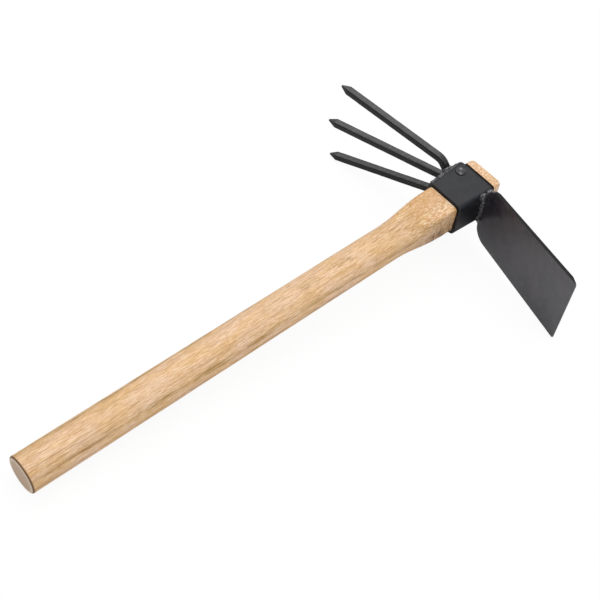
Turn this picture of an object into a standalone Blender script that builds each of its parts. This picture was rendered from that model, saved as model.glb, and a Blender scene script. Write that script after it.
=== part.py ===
"""Hand hoe and three-tine cultivator: a welded steel head on a straight hardwood handle.

Metres. +X runs along the handle from the butt to the head, the hoe blade is on the -Y side and the tines are
on the +Y side. The tool is the same above and below Z = 0, apart from the collar's seam weld, the nail and the
small set of the blade. The origin is the centre of the handle's flat butt end.
"""

import math

import bmesh
import bpy
from mathutils import Matrix, Vector

GAP = 0.0003  # clearance between pieces that touch on the real tool
MERGE = 1e-7  # distance under which points or a cut count as the same

# Handle
GRIP_RADIUS = 0.0135
BUTT_ROUNDING = 0.0018
ROUND_END = 0.307  # where the turned grip starts to change into the square neck
SQUARE_START = 0.357  # where the neck has its full rectangular section
NECK_WIDTH = 0.0290  # along Y
NECK_HEIGHT = 0.0262  # along Z
NECK_CORNER = 0.0034
NECK_EASE = 1.25  # above one, the neck turns square late
TENON_STAND_OUT = 0.0138  # how far the wood shows beyond the collar
TENON_ROUNDING = 0.0046
TENON_CORNER = 0.0022
TENON_END_CORNER = 0.0017
ROUND_SHARE = 0.9999  # a round section's corner radius against its half width, so that no points meet

# Collar, the rectangular eye folded from steel strip
COLLAR_START = 0.3655
COLLAR_LENGTH = 0.0348
COLLAR_MOUTH = 0.0335  # outer width along Y at the handle side
COLLAR_FLARE = 0.0370  # outer width along Y at the head side
COLLAR_HEIGHT = 0.0312  # outer height along Z
COLLAR_WALL = 0.0025
FOLD_RADIUS = 0.0045
SEAM_HALF_WIDTH = 0.0016
SEAM_CROWN = 0.0008
SEAM_DEPTH = 0.0018
SEAM_END_INSET = 0.0004

# Hoe blade
BLADE_STATION = 0.3909  # X of the handle-side face where it meets the collar
BLADE_TILT = math.radians(12.1)  # lean of the blade towards the handle
BLADE_SET = math.radians(0.5)  # turn of the blade in its own plane, left by the welding
BLADE_DROP = 0.0010  # how far the blade's neck sits below the middle of the collar
BLADE_LENGTH = 0.1058
BLADE_EDGE_WIDTH = 0.0630
BLADE_SHOULDER_WIDTH = 0.0550
BLADE_SHOULDER_RADIUS = 0.0130
BLADE_NECK_INSET = 0.0005  # how much the neck stays inside the collar's height on each side
BLADE_NECK_LENGTH = 0.0010
BLADE_THICKNESS = 0.0028
BLADE_BEVEL = 0.0070
BLADE_EDGE_THICKNESS = 0.0005
BLADE_CORNER = 0.0020

# Tines
TINE_BAR = 0.0057
TINE_EDGE = 0.0008
TINE_POINT = 0.0065
TINE_POINT_FLAT = 0.0011
TINE_POINT_EDGE = 0.0002
CENTRE_TINE_STATION = 0.3922
CENTRE_TINE_TILT = math.radians(18.6)
CENTRE_TINE_LENGTH = 0.1056
OUTER_TINE_STATION = 0.3906
OUTER_TINE_TILT = math.radians(16.4)
OUTER_TINE_LENGTH = 0.1005  # from the collar's side, measured straight out
OUTER_TINE_REACH = 0.0371  # height of the point above Z = 0
ELBOW_OUT = 0.0084  # where the elbow's two straight runs would meet
ELBOW_HEIGHT = 0.0170
ELBOW_RADIUS = 0.0110
ROOT_HEIGHT = 0.0058
ROOT_SPARE = 0.0100  # bar beyond the root, cut off along the collar's side

# Welds, nail and wedge
WELD_CLEARANCE = GAP * 1.4
FILLET_LEG = 0.0030
END_WELD_LEG = 0.0024
BLADE_WELD_INSET = 0.0022  # how much the blade's welds stop short of the collar's height
WELD_HOLLOW = 0.82  # the bead's face pulls in this far between its two legs
WELD_END_SIZE = 0.7
NAIL_X = 0.3922
NAIL_Y = 0.0096
NAIL_HEAD_RADIUS = 0.0042
NAIL_HEAD_RISE = 0.0016
NAIL_RIM_SHARE = 0.25  # rim height against the dome's
NAIL_SHANK_RADIUS = 0.0016
NAIL_LENGTH = 0.0185
NAIL_POINT = 0.0030
WEDGE_DEPTH = 0.0260
WEDGE_THICKNESS = 0.0034
WEDGE_TIP = 0.0012
WEDGE_WIDTH = 0.0200
WEDGE_INSET = 0.0002

CUTTER_SPARE = 0.0040  # how far a cutter runs past what it cuts

COLLAR_END = COLLAR_START + COLLAR_LENGTH
TENON_END = COLLAR_END + TENON_STAND_OUT
FLARE_SLOPE = (COLLAR_FLARE - COLLAR_MOUTH) / 2 / COLLAR_LENGTH
FLARE_ANGLE = math.atan(FLARE_SLOPE)


def collar_half_width(x):
    """Outer half width of the collar along Y at a station along the handle."""
    return COLLAR_MOUTH / 2 + FLARE_SLOPE * (x - COLLAR_START)


def clear_scene():
    for obj in list(bpy.data.objects):
        bpy.data.objects.remove(obj)


def material(name, colour, roughness, metallic):
    made = bpy.data.materials.new(name)
    made.use_nodes = True
    shader = made.node_tree.nodes["Principled BSDF"]
    shader.inputs["Base Color"].default_value = (*colour, 1.0)
    shader.inputs["Roughness"].default_value = roughness
    shader.inputs["Metallic"].default_value = metallic
    return made


def finish(name, mesh_data, finish_material, sharp_degrees=35):
    """Turns a bmesh into a named object with outward faces and smooth rounds."""
    bmesh.ops.remove_doubles(mesh_data, verts=mesh_data.verts, dist=MERGE)
    bmesh.ops.recalc_face_normals(mesh_data, faces=mesh_data.faces)
    mesh = bpy.data.meshes.new(name)
    mesh_data.to_mesh(mesh)
    mesh_data.free()
    mesh.materials.append(finish_material)
    mesh.shade_smooth()
    mesh.set_sharp_from_angle(angle=math.radians(sharp_degrees))
    obj = bpy.data.objects.new(name, mesh)
    bpy.context.scene.collection.objects.link(obj)
    return obj


def cut(target, cutter):
    """Takes the cutter's shape out of the target and leaves the cutter as a hidden guide."""
    cutter.hide_render = True
    cutter.display_type = "WIRE"
    modifier = target.modifiers.new(cutter.name, "BOOLEAN")
    modifier.operation = "DIFFERENCE"
    modifier.solver = "EXACT"
    modifier.object = cutter


def slice_off(mesh_data, point, normal, keep_outer=True):
    """Cuts along a plane, keeps the side that the normal points to, or the other one, and closes the cut."""
    bmesh.ops.bisect_plane(
        mesh_data, geom=mesh_data.verts[:] + mesh_data.edges[:] + mesh_data.faces[:], dist=MERGE,
        plane_co=point, plane_no=normal, clear_inner=keep_outer, clear_outer=not keep_outer,
    )
    open_edges = [edge for edge in mesh_data.edges if edge.is_boundary]
    bmesh.ops.contextual_create(mesh_data, geom=open_edges)


def rounded_rectangle(half_width, half_height, radius, corner_steps):
    """Points (y, z) around a rectangle with round corners, counter-clockwise."""
    points = []
    for corner, (side_y, side_z) in enumerate(((1, 1), (-1, 1), (-1, -1), (1, -1))):
        centre_y = side_y * (half_width - radius)
        centre_z = side_z * (half_height - radius)
        for step in range(corner_steps + 1):
            angle = math.pi / 2 * (corner + step / corner_steps)
            points.append((centre_y + radius * math.cos(angle), centre_z + radius * math.sin(angle)))
    return points


def loft(sections, close_ends=True):
    """Skins rings of points that all have the same count, and caps both ends."""
    skin = bmesh.new()
    rings = [[skin.verts.new(point) for point in section] for section in sections]
    for ring, following in zip(rings, rings[1:]):
        for index, vertex in enumerate(ring):
            after = (index + 1) % len(ring)
            skin.faces.new((vertex, ring[after], following[after], following[index]))
    if close_ends:
        skin.faces.new(reversed(rings[0]))
        skin.faces.new(rings[-1])
    return skin


def smooth_step(value):
    value = min(max(value, 0.0), 1.0)
    return value * value * (3 - 2 * value)


def between(start, end, share):
    return start + (end - start) * share


def section_at(x, half_width, half_height, radius, corner_steps=8):
    return [(x, y, z) for y, z in rounded_rectangle(half_width, half_height, radius, corner_steps)]


def tenon_half_width(x):
    return collar_half_width(x) - COLLAR_WALL - GAP


def butt_sections(steps=4):
    """The rounded rim of the butt, from its flat end to the full grip."""
    sections = []
    for step in range(steps + 1):
        angle = math.pi / 2 * step / steps
        radius = GRIP_RADIUS - BUTT_ROUNDING * (1 - math.sin(angle))
        x = BUTT_ROUNDING * (1 - math.cos(angle))
        sections.append(section_at(x, radius, radius, radius * ROUND_SHARE))
    return sections


def neck_sections(steps=10):
    """The change from the round grip to the square neck."""
    sections = []
    for step in range(steps + 1):
        blend = smooth_step((step / steps) ** NECK_EASE)
        half_width = between(GRIP_RADIUS, NECK_WIDTH / 2, blend)
        half_height = between(GRIP_RADIUS, NECK_HEIGHT / 2, blend)
        radius = between(GRIP_RADIUS * ROUND_SHARE, NECK_CORNER, blend)
        x = between(ROUND_END, SQUARE_START, step / steps)
        sections.append(section_at(x, half_width, half_height, radius))
    return sections


def tenon_sections(half_height, steps=5):
    """The flared tenon inside the collar and its softened end beyond it."""
    sections = [
        section_at(x, tenon_half_width(x), half_height, TENON_CORNER) for x in (COLLAR_START - GAP, COLLAR_END)
    ]
    for step in range(steps + 1):
        angle = math.pi / 2 * step / steps
        inset = TENON_ROUNDING * (1 - math.cos(angle))
        x = TENON_END - TENON_ROUNDING * (1 - math.sin(angle))
        corner = between(TENON_CORNER, TENON_END_CORNER, step / steps)
        sections.append(section_at(x, tenon_half_width(COLLAR_END) - inset, half_height - inset, corner))
    return sections


def make_handle(wood):
    """Round grip, square neck and the flared tenon that is driven into the collar."""
    neck_end = section_at(COLLAR_START - GAP, NECK_WIDTH / 2, NECK_HEIGHT / 2, NECK_CORNER)
    tenon = tenon_sections(COLLAR_HEIGHT / 2 - COLLAR_WALL - GAP)
    handle = finish("handle", loft(butt_sections() + neck_sections() + [neck_end] + tenon), wood)
    cut(handle, wedge_solid("kerf_cutter", wood, GAP, CUTTER_SPARE))
    cut(handle, nail_hole("nail_hole_cutter", wood, NAIL_LENGTH + GAP))
    return handle


def wedge_solid(name, wood, clearance, end_shift):
    """Taper driven into the sawn kerf; with a clearance it is the kerf itself."""
    start = TENON_END - WEDGE_DEPTH - clearance
    end = TENON_END + end_shift
    growth = (WEDGE_THICKNESS - WEDGE_TIP) / 2 / WEDGE_DEPTH
    thin = WEDGE_TIP / 2 + clearance
    thick = thin + growth * (end - start)
    width = WEDGE_WIDTH / 2 + clearance
    rings = []
    for x, half in ((start, thin), (end, thick)):
        rings.append([(x, half, width), (x, -half, width), (x, -half, -width), (x, half, -width)])
    return finish(name, loft(rings), wood)


def nail_hole(name, hole_material, depth):
    """Cutter for the nail's hole, a little wider than its shank, from above the collar down to a depth."""
    hole = bmesh.new()
    radius = NAIL_SHANK_RADIUS + GAP
    height = depth + CUTTER_SPARE
    bmesh.ops.create_cone(
        hole, cap_ends=True, segments=20, radius1=radius, radius2=radius, depth=height,
        matrix=Matrix.Translation((NAIL_X, NAIL_Y, COLLAR_HEIGHT / 2 + CUTTER_SPARE - height / 2)),
    )
    return finish(name, hole, hole_material)


def make_collar(steel):
    """Rectangular eye, wider at the head side, with an open joint along one fold for the seam weld."""
    outer = [section_at(x, collar_half_width(x), COLLAR_HEIGHT / 2, FOLD_RADIUS, 6)
             for x in (COLLAR_START, COLLAR_END)]
    inner = [section_at(x, collar_half_width(x) - COLLAR_WALL, COLLAR_HEIGHT / 2 - COLLAR_WALL,
                        FOLD_RADIUS - COLLAR_WALL, 6)
             for x in (COLLAR_END, COLLAR_START)]
    rings = outer + inner + outer[:1]
    collar = finish("collar", loft(rings, close_ends=False), steel)
    joint = seam_bar("seam_joint_cutter", steel, SEAM_HALF_WIDTH, CUTTER_SPARE, CUTTER_SPARE, CUTTER_SPARE)
    cut(collar, joint)
    cut(collar, nail_hole("wall_hole_cutter", steel, COLLAR_WALL + CUTTER_SPARE))
    return collar


def seam_point(x):
    """Middle of the fold between the upper face and the tine side, on the collar's outer skin."""
    inward = FOLD_RADIUS * (1 - math.sqrt(0.5))
    return Vector((x, collar_half_width(x) - inward, COLLAR_HEIGHT / 2 - inward))


def seam_bar(name, steel, half_width, crown, root, overhang):
    """Bar along the fold's middle: it stands out by crown, reaches in by root and runs past both ends."""
    outward = Vector((0, math.sqrt(0.5), math.sqrt(0.5)))
    across = Vector((0, math.sqrt(0.5), -math.sqrt(0.5)))
    arc_steps = 4
    rings = []
    for x in (COLLAR_START - overhang, COLLAR_END + overhang):
        middle = seam_point(x)
        ring = [middle - outward * root + across * half_width, middle - outward * root - across * half_width]
        for step in range(arc_steps + 1):
            angle = math.pi * (1 - step / arc_steps)
            ring.append(middle + across * half_width * math.cos(angle) + outward * crown * math.sin(angle))
        rings.append(ring)
    return finish(name, loft(rings), steel)


def make_seam_weld(steel):
    """Bead that closes the collar's fold joint."""
    return seam_bar("collar_seam_weld", steel, SEAM_HALF_WIDTH - GAP, SEAM_CROWN, SEAM_DEPTH, -SEAM_END_INSET)


def side_frame(station, side, tilt, height):
    """Local X straight out of the collar's side, local Y towards the head and local Z up."""
    out = Vector((-math.sin(tilt), side * math.cos(tilt), 0))
    headward = Vector((math.cos(tilt), side * math.sin(tilt), 0))
    origin = Vector((station, side * collar_half_width(station), height))
    frame = Matrix((out, headward, Vector((0, 0, 1)))).transposed().to_4x4()
    return Matrix.Translation(origin) @ frame


def trim_to_collar(mesh_data, side):
    """Cuts away what lies inside the collar's side face; side is -1 for the blade and +1 for the tines."""
    normal = Vector((-math.sin(FLARE_ANGLE), side * math.cos(FLARE_ANGLE), 0))
    on_face = Vector((COLLAR_START, side * COLLAR_MOUTH / 2, 0)) + normal * GAP
    slice_off(mesh_data, on_face, normal)


def blade_outline(shoulder_steps=7, corner_steps=4):
    """Half outline (out, up) from the neck at the collar round the shoulder to the cutting edge."""
    neck = COLLAR_HEIGHT / 2 - BLADE_NECK_INSET
    shoulder = BLADE_SHOULDER_WIDTH / 2
    points = [(-BLADE_THICKNESS, neck), (BLADE_NECK_LENGTH, neck)]
    for step in range(1, shoulder_steps + 1):
        angle = math.pi / 2 * step / shoulder_steps
        out = BLADE_NECK_LENGTH + BLADE_SHOULDER_RADIUS * (1 - math.cos(angle))
        points.append((out, between(neck, shoulder, math.sin(angle))))
    for step in range(corner_steps + 1):
        angle = math.pi / 2 * step / corner_steps
        out = BLADE_LENGTH - BLADE_CORNER * (1 - math.sin(angle))
        points.append((out, BLADE_EDGE_WIDTH / 2 - BLADE_CORNER * (1 - math.cos(angle))))
    return points


def make_blade(steel):
    """Flat plate with rounded shoulders, ground to an edge on the side away from the handle."""
    half = blade_outline()
    outline = half + [(out, -up) for out, up in reversed(half)]
    plate = bmesh.new()
    face = plate.faces.new([plate.verts.new((out, 0, up)) for out, up in outline])
    raised = bmesh.ops.extrude_face_region(plate, geom=[face])
    moved = [item for item in raised["geom"] if isinstance(item, bmesh.types.BMVert)]
    bmesh.ops.translate(plate, vec=(0, BLADE_THICKNESS, 0), verts=moved)
    bmesh.ops.recalc_face_normals(plate, faces=plate.faces)
    slope = math.atan2(BLADE_THICKNESS - BLADE_EDGE_THICKNESS, BLADE_BEVEL)
    ground_normal = Vector((math.sin(slope), math.cos(slope), 0))
    slice_off(plate, Vector((BLADE_LENGTH, BLADE_EDGE_THICKNESS, 0)), ground_normal, keep_outer=False)
    turn = Matrix.Rotation(-BLADE_SET, 4, "Y")
    plate.transform(side_frame(BLADE_STATION, -1, BLADE_TILT, -BLADE_DROP) @ turn)
    trim_to_collar(plate, side=-1)
    return finish("hoe_blade", plate, steel)


def bar_ring(centre, angle, half, edge):
    """Square section with chamfered edges, square to a path that climbs at the given angle."""
    along = Vector((0, 1, 0))
    lift = Vector((-math.sin(angle), 0, math.cos(angle)))
    flat = half - edge
    corners = (
        (half, flat), (flat, half), (-flat, half), (-half, flat),
        (-half, -flat), (-flat, -half), (flat, -half), (half, -flat),
    )
    return [centre + along * a + lift * b for a, b in corners]


def tine_path(elbow_steps=6):
    """Centre line of an outer tine as (point, climb angle): root, elbow arc and straight run."""
    root = Vector((0, 0, ROOT_HEIGHT))
    elbow = Vector((ELBOW_OUT, 0, ELBOW_HEIGHT))
    tip = Vector((OUTER_TINE_LENGTH, 0, OUTER_TINE_REACH))
    root_angle = math.atan2(elbow.z - root.z, elbow.x - root.x)
    run_angle = math.atan2(tip.z - elbow.z, tip.x - elbow.x)
    turn = root_angle - run_angle
    root_way = Vector((math.cos(root_angle), 0, math.sin(root_angle)))
    run_way = Vector((math.cos(run_angle), 0, math.sin(run_angle)))
    bend_start = elbow - root_way * ELBOW_RADIUS * math.tan(turn / 2)
    bend_centre = bend_start + Vector((math.sin(root_angle), 0, -math.cos(root_angle))) * ELBOW_RADIUS
    path = [(root - root_way * ROOT_SPARE, root_angle)]
    for step in range(elbow_steps + 1):
        angle = root_angle - turn * step / elbow_steps
        out = Vector((-math.sin(angle), 0, math.cos(angle)))
        path.append((bend_centre + out * ELBOW_RADIUS, angle))
    path.append((tip - run_way * TINE_POINT, run_angle))
    path.append((tip, run_angle))
    return path


def tine_mesh(path):
    """Square bar along the path, drawn down to a blunt four-sided point over its last stretch."""
    sections = [bar_ring(point, angle, TINE_BAR / 2, TINE_EDGE) for point, angle in path[:-1]]
    tip, angle = path[-1]
    sections.append(bar_ring(tip, angle, TINE_POINT_FLAT / 2, TINE_POINT_EDGE))
    return loft(sections)


def make_centre_tine(steel):
    stations = (-ROOT_SPARE, CENTRE_TINE_LENGTH - TINE_POINT, CENTRE_TINE_LENGTH)
    tine = tine_mesh([(Vector((x, 0, 0)), 0.0) for x in stations])
    tine.transform(side_frame(CENTRE_TINE_STATION, 1, CENTRE_TINE_TILT, 0))
    trim_to_collar(tine, side=1)
    return finish("centre_tine", tine, steel)


def make_outer_tine(name, steel, side):
    """Outer tine with its elbow beside the collar; side is +1 for the upper one and -1 for the lower one."""
    tine = tine_mesh(tine_path())
    tine.transform(side_frame(OUTER_TINE_STATION, 1, OUTER_TINE_TILT, 0))
    trim_to_collar(tine, side=1)
    slice_off(tine, Vector((0, 0, TINE_BAR / 2 + GAP)), Vector((0, 0, 1)))
    if side < 0:
        bmesh.ops.scale(tine, vec=(1, 1, -1), verts=tine.verts)
    return finish(name, tine, steel)


def fillet(name, steel, start, end, leg_a, leg_b, stretches=4, arc_steps=4):
    """Weld bead in an inside corner: from start to end, with a leg along each of the two faces."""
    rings = []
    for part in range(stretches + 1):
        middle = between(start, end, part / stretches)
        size = 1.0 if 0 < part < stretches else WELD_END_SIZE
        ring = [middle]
        for step in range(arc_steps + 1):
            angle = math.pi / 2 * step / arc_steps
            reach = size * between(WELD_HOLLOW, 1.0, abs(math.cos(2 * angle)))
            ring.append(middle + (leg_a * math.cos(angle) + leg_b * math.sin(angle)) * reach)
        rings.append(ring)
    return finish(name, loft(rings), steel)


def side_face_point(x, side, z):
    """Point just off the collar's side face; side is -1 for the blade and +1 for the tines."""
    return Vector((x, side * (collar_half_width(x) + WELD_CLEARANCE), z))


def corner_weld(name, steel, side, tilt, station, headward, half):
    """Upright fillet between the collar's side face and a blade or tine, towards the head or the handle."""
    station += headward * WELD_CLEARANCE
    out = Vector((-math.sin(tilt), side * math.cos(tilt), 0))
    along_face = Vector((headward * math.cos(FLARE_ANGLE), headward * side * math.sin(FLARE_ANGLE), 0))
    start = side_face_point(station, side, -half)
    end = side_face_point(station, side, half)
    return fillet(name, steel, start, end, along_face * FILLET_LEG, out * FILLET_LEG)


def make_blade_welds(steel):
    half = COLLAR_HEIGHT / 2 - BLADE_WELD_INSET
    far_face = BLADE_STATION + BLADE_THICKNESS / math.cos(BLADE_TILT)
    corner_weld("blade_weld_handle_side", steel, -1, BLADE_TILT, BLADE_STATION, -1, half)
    corner_weld("blade_weld_head_side", steel, -1, BLADE_TILT, far_face, 1, half)


def tine_climb():
    """Angle at which an outer tine leaves the collar, above the tines' own plane."""
    return math.atan2(ELBOW_HEIGHT - ROOT_HEIGHT, ELBOW_OUT)


def tine_root_top(x):
    """Height at which an outer tine's upper edge meets the collar's side face at a station."""
    climb = tine_climb()
    offset = x - OUTER_TINE_STATION
    out = offset * (FLARE_SLOPE * math.cos(OUTER_TINE_TILT) - math.sin(OUTER_TINE_TILT))
    return ROOT_HEIGHT + TINE_BAR / 2 / math.cos(climb) + out * math.tan(climb)


def tine_end_weld(name, steel, side):
    """Bead over an outer tine's root, between the bar and the collar; side is +1 above and -1 below."""
    climb = tine_climb()
    flat = side_frame(OUTER_TINE_STATION, 1, OUTER_TINE_TILT, 0).to_3x3()
    up_bar = flat @ Vector((math.cos(climb), 0, side * math.sin(climb)))
    reach = TINE_BAR / 2 / math.cos(OUTER_TINE_TILT)
    start, end = [
        side_face_point(x, 1, side * (tine_root_top(x) + WELD_CLEARANCE * 2))
        for x in (OUTER_TINE_STATION - reach, OUTER_TINE_STATION + reach)
    ]
    return fillet(name, steel, start, end, Vector((0, 0, side * END_WELD_LEG)), up_bar * END_WELD_LEG)


def make_tine_welds(steel):
    half = tine_root_top(OUTER_TINE_STATION) + GAP
    handle_face = OUTER_TINE_STATION - TINE_BAR / 2 / math.cos(OUTER_TINE_TILT)
    head_face = CENTRE_TINE_STATION + TINE_BAR / 2 / math.cos(CENTRE_TINE_TILT)
    tine_end_weld("tine_weld_upper", steel, 1)
    tine_end_weld("tine_weld_lower", steel, -1)
    corner_weld("tine_weld_handle_side", steel, 1, OUTER_TINE_TILT, handle_face, -1, half)
    corner_weld("tine_weld_head_side", steel, 1, CENTRE_TINE_TILT, head_face, 1, half)


def make_nail(steel, dome_steps=4):
    """Domed nail head on the collar's upper face, with its shank through the wall into the tenon."""
    profile = []
    for step in range(dome_steps + 1):
        angle = math.pi / 2 * step / dome_steps
        rise = NAIL_HEAD_RISE * between(NAIL_RIM_SHARE, 1.0, math.cos(angle))
        profile.append((NAIL_HEAD_RADIUS * math.sin(angle), rise))
    profile.append((NAIL_HEAD_RADIUS, GAP))
    profile.append((NAIL_SHANK_RADIUS, GAP))
    profile.append((NAIL_SHANK_RADIUS, NAIL_POINT - NAIL_LENGTH))
    profile.append((0.0, -NAIL_LENGTH))
    nail = bmesh.new()
    vertices = [nail.verts.new((radius, 0, height)) for radius, height in profile]
    edges = [nail.edges.new(pair) for pair in zip(vertices, vertices[1:])]
    bmesh.ops.spin(
        nail, geom=vertices + edges, cent=(0, 0, 0), axis=(0, 0, 1), dvec=(0, 0, 0),
        angle=2 * math.pi, steps=24, use_merge=True,
    )
    bmesh.ops.translate(nail, vec=(NAIL_X, NAIL_Y, COLLAR_HEIGHT / 2), verts=nail.verts)
    return finish("retaining_nail", nail, steel)


def main():
    clear_scene()
    wood = material("light_hardwood", (0.72, 0.50, 0.28), 0.55, 0.0)
    wedge_wood = material("wedge_hardwood", (0.50, 0.30, 0.15), 0.60, 0.0)
    painted = material("black_painted_steel", (0.035, 0.035, 0.040), 0.42, 0.3)
    weld = material("painted_weld", (0.06, 0.06, 0.065), 0.35, 0.4)
    nail_steel = material("nail_steel", (0.16, 0.16, 0.17), 0.35, 0.7)
    make_handle(wood)
    wedge_solid("tenon_wedge", wedge_wood, 0.0, -WEDGE_INSET)
    make_collar(painted)
    make_seam_weld(weld)
    make_blade(painted)
    make_blade_welds(weld)
    make_centre_tine(painted)
    make_outer_tine("upper_tine", painted, 1)
    make_outer_tine("lower_tine", painted, -1)
    make_tine_welds(weld)
    make_nail(nail_steel)


main()
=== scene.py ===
"""Looks of a hand hoe and three-tine cultivator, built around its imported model.

Metres. +X runs from the butt to the head, the blade is on the -Y side and the tines are on the +Y side.
The sections follow the tool as it is put together: handle, wedge, collar, seam, nail, blade, tines.
"""

import math

import bmesh
import bpy
from mathutils import Matrix, Quaternion, Vector, noise


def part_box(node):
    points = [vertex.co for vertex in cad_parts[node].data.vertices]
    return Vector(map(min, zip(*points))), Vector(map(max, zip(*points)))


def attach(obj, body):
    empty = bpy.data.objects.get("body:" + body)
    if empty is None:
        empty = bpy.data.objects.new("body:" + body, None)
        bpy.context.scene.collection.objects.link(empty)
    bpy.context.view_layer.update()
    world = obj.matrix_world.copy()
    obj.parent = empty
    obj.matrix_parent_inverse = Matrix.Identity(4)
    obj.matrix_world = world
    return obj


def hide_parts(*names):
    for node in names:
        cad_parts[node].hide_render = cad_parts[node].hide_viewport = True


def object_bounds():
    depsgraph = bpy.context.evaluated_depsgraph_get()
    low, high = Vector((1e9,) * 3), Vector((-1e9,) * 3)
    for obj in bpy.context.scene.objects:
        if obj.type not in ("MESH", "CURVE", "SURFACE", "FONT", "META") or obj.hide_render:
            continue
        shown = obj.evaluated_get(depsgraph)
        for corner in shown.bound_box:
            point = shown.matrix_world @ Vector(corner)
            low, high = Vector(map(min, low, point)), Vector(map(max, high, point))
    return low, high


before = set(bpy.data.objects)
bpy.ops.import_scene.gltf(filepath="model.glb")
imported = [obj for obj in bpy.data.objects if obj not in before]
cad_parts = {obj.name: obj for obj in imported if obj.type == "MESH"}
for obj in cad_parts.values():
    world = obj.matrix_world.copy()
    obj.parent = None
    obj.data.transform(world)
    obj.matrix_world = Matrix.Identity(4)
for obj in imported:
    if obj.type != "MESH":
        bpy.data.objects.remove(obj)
cad_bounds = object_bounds()


# ---- Handle -------------------------------------------------------------------------------------
# A straight stick of pale open-pored hardwood, turned round for the hand and shaved to a square neck
# where it enters the collar. It is sanded and has one thin coat of clear lacquer over the tool marks.

handle_low, handle_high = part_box("handle")
collar_low, collar_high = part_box("collar")
GRIP_RADIUS = handle_high.z
BUTT_ROUNDING = 0.0018
ROUND_END = 0.307
SQUARE_START = 0.357
NECK_EASE = 1.25
NECK_HALF_WIDTH = 0.0145
NECK_HALF_HEIGHT = 0.0131
CLEARANCE = 0.0003
COLLAR_WALL = 0.0025
COLLAR_MOUTH_HALF = 0.01675
FLARE = (collar_high.y - COLLAR_MOUTH_HALF) / (collar_high.x - collar_low.x)
TENON_HALF_HEIGHT = collar_high.z - COLLAR_WALL - CLEARANCE
TENON_ROUNDING = 0.0046
TENON_TAPER = 0.0004
ROUND, SHAVED, SAWN = 2.0, 9.4, 13.0  # how square a section is: a power of two is a true round
HANDLE_SIDES = 144
PITH = Vector((0, 0.0055, -0.0522))
RING_SPACING = 0.0068
RING_RUN_OUT = 1.2


def collar_half_width(x):
    return COLLAR_MOUTH_HALF + FLARE * (x - collar_low.x)


def tenon_half_width(x):
    return collar_half_width(x) - COLLAR_WALL - CLEARANCE


def ease(share):
    share = min(max(share, 0.0), 1.0)
    return share * share * (3 - 2 * share)


def between(first, last, share):
    return first + (last - first) * share


def on_section(point, x, half_width, half_height, squareness):
    """Moves a point of a ring straight out or in, onto a section that is round or nearly square."""
    angle = math.atan2(point.z, point.y)
    across = abs(math.cos(angle) / half_width) ** squareness
    upright = abs(math.sin(angle) / half_height) ** squareness
    reach = (across + upright) ** (-1 / squareness)
    return Vector((x, reach * math.cos(angle), reach * math.sin(angle)))


def start_ring(shape, sides, place):
    """A ring round the X axis, with each point put in place; gives its edges."""
    upright = Matrix.Rotation(math.pi / 2, 4, "Y")
    made = bmesh.ops.create_circle(shape, segments=sides, radius=1.0, matrix=upright)
    for point in made["verts"]:
        point.co = place(point.co)
    return shape.edges[:]


def draw_out(shape, rim, place):
    """Extrudes an open rim one step, puts its new points in place and gives the new rim."""
    made = bmesh.ops.extrude_edge_only(shape, edges=rim)["geom"]
    points = {item for item in made if isinstance(item, bmesh.types.BMVert)}
    for point in points:
        point.co = place(point.co)
    return [item for item in made if isinstance(item, bmesh.types.BMEdge) and set(item.verts) <= points]


def make_piece(name, shape, sharp_degrees=38):
    """Closes the open rims of a shape and makes it a named piece with outward, smooth faces."""
    bmesh.ops.holes_fill(shape, edges=[edge for edge in shape.edges if edge.is_boundary], sides=0)
    bmesh.ops.remove_doubles(shape, verts=shape.verts, dist=1e-7)
    bmesh.ops.recalc_face_normals(shape, faces=shape.faces)
    mesh = bpy.data.meshes.new(name)
    shape.to_mesh(mesh)
    shape.free()
    mesh.shade_smooth()
    mesh.set_sharp_from_angle(angle=math.radians(sharp_degrees))
    piece = bpy.data.objects.new(name, mesh)
    bpy.context.scene.collection.objects.link(piece)
    return piece


def cut_out(piece, cutter, sharp_degrees=38):
    """Cuts one shape out of a piece for good and removes the cutter."""
    cutting = piece.modifiers.new("cut", "BOOLEAN")
    cutting.operation = "DIFFERENCE"
    cutting.solver = "EXACT"
    cutting.object = cutter
    evaluated = piece.evaluated_get(bpy.context.evaluated_depsgraph_get())
    mesh = bpy.data.meshes.new_from_object(evaluated)
    mesh.set_sharp_from_angle(angle=math.radians(sharp_degrees))
    piece.modifiers.clear()
    piece.data = mesh
    bpy.data.objects.remove(cutter)


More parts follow.
